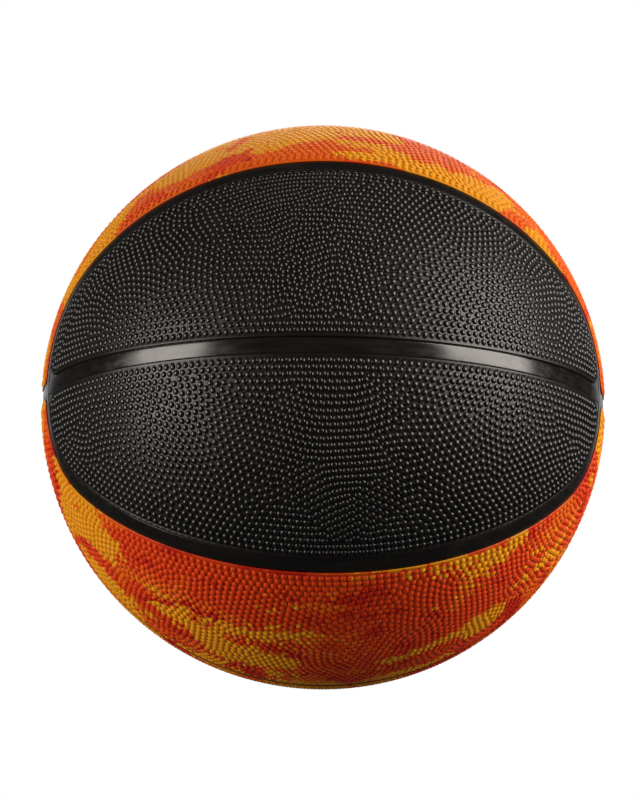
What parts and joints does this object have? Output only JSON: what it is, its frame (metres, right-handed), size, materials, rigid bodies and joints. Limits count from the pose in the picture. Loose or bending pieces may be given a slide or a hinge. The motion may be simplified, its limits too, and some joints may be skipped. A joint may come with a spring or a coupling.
{
  "type": "basketball",
  "caption": "Inflated rubber basketball with black oval panels, camouflage outer panels, recessed channels and a needle valve over a wound carcass and bladder.",
  "frame": {"origin": "centre of the ball", "axes": "+X along the long axis of the ovals, -Y out of the front oval, +Z square to the centre channel"},
  "size_m": [0.2394, 0.2398, 0.2398],
  "materials": {
    "cover_black": "semi-gloss, pebbled",
    "cover_camouflage": "semi-gloss, pebbled, printed in yellow, orange and red-orange",
    "channel_black": "semi-gloss, smooth",
    "carcass_rubber": "matt",
    "bladder_rubber": "satin",
    "valve_rubber": "satin",
    "thread_nylon": "wound nylon thread"
  },
  "bodies": {
    "root": {"bladder": "bladder_rubber", "valve_boot": "valve_rubber", "valve_plug": "valve_rubber", "thread_winding": "thread_nylon", "carcass": "carcass_rubber", "front_upper_oval_panel": "cover_black", "front_upper_outer_panel": "cover_camouflage", "front_lower_oval_panel": "cover_black", "front_lower_outer_panel": "cover_camouflage", "rear_upper_oval_panel": "cover_black", "rear_upper_outer_panel": "cover_camouflage", "rear_lower_oval_panel": "cover_black", "rear_lower_outer_panel": "cover_camouflage", "girth_channel": "channel_black", "front_oval_channel": "channel_black", "front_centre_channel": "channel_black", "front_left_link_channel": "channel_black", "front_right_link_channel": "channel_black", "rear_oval_channel": "channel_black", "rear_centre_channel": "channel_black", "rear_left_link_channel": "channel_black", "rear_right_link_channel": "channel_black"}
  },
  "joints": []
}
